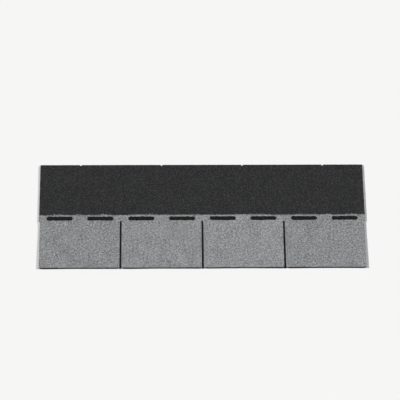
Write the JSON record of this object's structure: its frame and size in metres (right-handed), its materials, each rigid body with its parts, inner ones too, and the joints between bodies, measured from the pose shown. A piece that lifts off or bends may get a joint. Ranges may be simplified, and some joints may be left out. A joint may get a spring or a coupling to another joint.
{
  "type": "asphalt strip shingle",
  "caption": "Flat granule-faced asphalt strip shingle with square-cut tabs parted by narrow slots along its butt edge, a dark headlap and a dashed seal strip, for covering a pitched roof.",
  "frame": {"origin": "under the middle of the strip, on the surface that its back lies on", "axes": "+X along the course, +Y up the roof slope from the butt edge to the top edge, +Z out of the granule face"},
  "size_m": [1, 0.336, 0.004],
  "materials": {
    "granule_face": "matt grey mineral granules in asphalt, with black headlap granules, black cut edges and a sanded black back",
    "seal_bitumen": "half-matt black adhesive asphalt, dulled here and there by dust"
  },
  "bodies": {
    "root": {"shingle_sheet": "granule_face", "seal_dabs": "seal_bitumen"}
  },
  "joints": []
}
